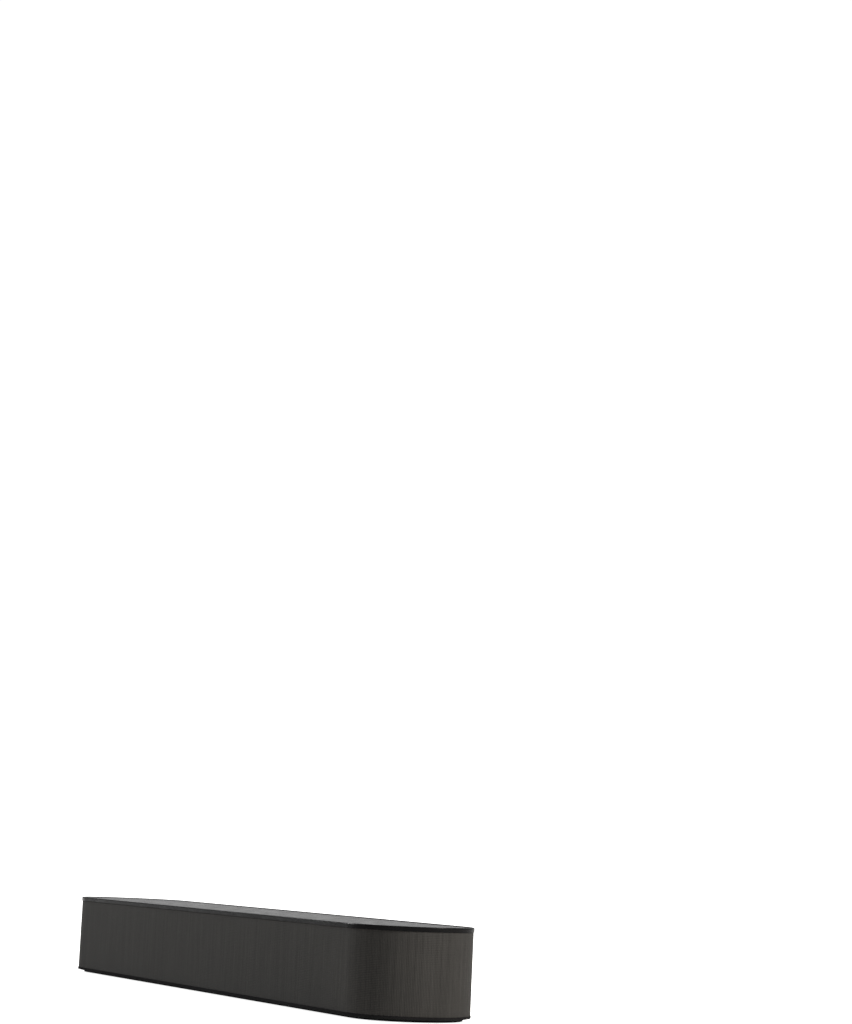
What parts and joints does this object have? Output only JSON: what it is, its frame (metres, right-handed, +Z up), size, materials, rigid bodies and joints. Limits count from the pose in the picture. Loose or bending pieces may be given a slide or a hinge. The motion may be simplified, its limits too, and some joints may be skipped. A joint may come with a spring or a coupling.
{
  "type": "soundbar",
  "caption": "Compact soundbar with rounded ends, cloth wrap, thin black lid, inset base, rear connector bay, racetrack woofers, dome tweeter and passive radiators.",
  "frame": {"origin": "centre of the footprint, on the surface that the foot pads stand on", "axes": "+X along the bar to the listener's right, +Y to the back, +Z up; the front faces -Y"},
  "size_m": [0.651, 0.1, 0.069],
  "materials": {
    "lid_plastic": "satin",
    "clear_plastic": "clear, slightly milky",
    "cloth": "fine tight weave, matt",
    "black_plastic": "matt",
    "base_plastic": "matt",
    "foot_rubber": "matt",
    "insert_brass": "turned",
    "chassis_plastic": "matt",
    "gasket_foam": "closed-cell foam",
    "bay_plastic": "fine texture",
    "blue_board": "solder mask",
    "green_board": "solder mask",
    "brown_board": "phenolic board",
    "sink_aluminium": "extruded",
    "socket_steel": "plated",
    "inlet_plastic": "moulded",
    "pin_steel": "nickel plated",
    "lead_jacket": "extruded",
    "screw_steel": "zinc plated, dark",
    "basket_metal": "powder coated",
    "motor_metal": "zinc plated and ferrite",
    "cone_paper": "coated pulp",
    "coil_copper": "enamelled copper wire",
    "surround_rubber": "soft, matt",
    "spider_cloth": "resin-dipped weave",
    "dome_cloth": "coated silk",
    "radiator_plastic": "moulded",
    "button_plastic": "satin"
  },
  "bodies": {
    "chassis": {"top_lid": "lid_plastic", "status_light_pipe": "clear_plastic", "fabric_wrap": "cloth", "grille_carrier": "black_plastic", "base_pan": "base_plastic", "foot_pads": "foot_rubber", "threaded_inserts": "insert_brass", "chassis_tub": "chassis_plastic", "cover_gasket": "gasket_foam", "chassis_cover": "chassis_plastic", "connector_bay": "bay_plastic", "touch_board": "blue_board", "main_board": "green_board", "heat_sink": "sink_aluminium", "power_board": "brown_board", "hdmi_socket": "socket_steel", "ethernet_socket": "socket_steel", "mains_inlet": "inlet_plastic", "inlet_pins": "pin_steel", "mains_leads": "lead_jacket", "pairing_switch": "black_plastic", "speaker_leads": "lead_jacket", "driver_screws": "screw_steel", "case_screws": "screw_steel", "radiator_frames": "black_plastic", "tweeter_faceplate": "black_plastic", "tweeter_surround": "surround_rubber", "tweeter_motor": "motor_metal", "front_left_basket": "basket_metal", "front_left_motor": "motor_metal", "front_left_surround": "surround_rubber", "front_left_spider": "spider_cloth", "front_right_basket": "basket_metal", "front_right_motor": "motor_metal", "front_right_surround": "surround_rubber", "front_right_spider": "spider_cloth", "side_left_basket": "basket_metal", "side_left_motor": "motor_metal", "side_left_surround": "surround_rubber", "side_left_spider": "spider_cloth", "side_right_basket": "basket_metal", "side_right_motor": "motor_metal", "side_right_surround": "surround_rubber", "side_right_spider": "spider_cloth", "radiator_left_surround": "surround_rubber", "radiator_right_surround": "surround_rubber", "radiator_rear_surround": "surround_rubber"},
    "front_left_woofer_cone": {"front_left_cone": "cone_paper", "front_left_voice_coil": "coil_copper"},
    "front_right_woofer_cone": {"front_right_cone": "cone_paper", "front_right_voice_coil": "coil_copper"},
    "side_left_woofer_cone": {"side_left_cone": "cone_paper", "side_left_voice_coil": "coil_copper"},
    "side_right_woofer_cone": {"side_right_cone": "cone_paper", "side_right_voice_coil": "coil_copper"},
    "radiator_left_diaphragm": {"radiator_left_plate": "radiator_plastic"},
    "radiator_right_diaphragm": {"radiator_right_plate": "radiator_plastic"},
    "radiator_rear_diaphragm": {"radiator_rear_plate": "radiator_plastic"},
    "tweeter_diaphragm": {"tweeter_dome": "dome_cloth"},
    "pairing_button": {"pairing_button": "button_plastic"}
  },
  "joints": [
    {"name": "front_left_woofer_travel", "type": "slide", "parent": "chassis", "child": "front_left_woofer_cone", "axis": [0, -1, 0], "range_m": [-0.003, 0.003], "stiffness_N_per_m": 300, "deforming": ["front_left_surround", "front_left_spider"]},
    {"name": "front_right_woofer_travel", "type": "slide", "parent": "chassis", "child": "front_right_woofer_cone", "axis": [0, -1, 0], "range_m": [-0.003, 0.003], "stiffness_N_per_m": 300, "deforming": ["front_right_surround", "front_right_spider"]},
    {"name": "side_left_woofer_travel", "type": "slide", "parent": "chassis", "child": "side_left_woofer_cone", "axis": [-1, 0, 0], "range_m": [-0.003, 0.003], "stiffness_N_per_m": 300, "deforming": ["side_left_surround", "side_left_spider"]},
    {"name": "side_right_woofer_travel", "type": "slide", "parent": "chassis", "child": "side_right_woofer_cone", "axis": [1, 0, 0], "range_m": [-0.003, 0.003], "stiffness_N_per_m": 300, "deforming": ["side_right_surround", "side_right_spider"]},
    {"name": "radiator_left_travel", "type": "slide", "parent": "chassis", "child": "radiator_left_diaphragm", "axis": [0, -1, 0], "range_m": [-0.003, 0.003], "stiffness_N_per_m": 300, "deforming": ["radiator_left_surround"]},
    {"name": "radiator_right_travel", "type": "slide", "parent": "chassis", "child": "radiator_right_diaphragm", "axis": [0, -1, 0], "range_m": [-0.003, 0.003], "stiffness_N_per_m": 300, "deforming": ["radiator_right_surround"]},
    {"name": "radiator_rear_travel", "type": "slide", "parent": "chassis", "child": "radiator_rear_diaphragm", "axis": [0, 1, 0], "range_m": [-0.003, 0.003], "stiffness_N_per_m": 300, "deforming": ["radiator_rear_surround"]},
    {"name": "tweeter_travel", "type": "slide", "parent": "chassis", "child": "tweeter_diaphragm", "axis": [0, -1, 0], "range_m": [-0.0003, 0.0003], "stiffness_N_per_m": 50, "deforming": ["tweeter_surround"]},
    {"name": "pairing_button_press", "type": "slide", "parent": "chassis", "child": "pairing_button", "axis": [0, -1, 0], "range_m": [0, 0.0006], "stiffness_N_per_m": 200, "springref_m": -0.0004}
  ]
}
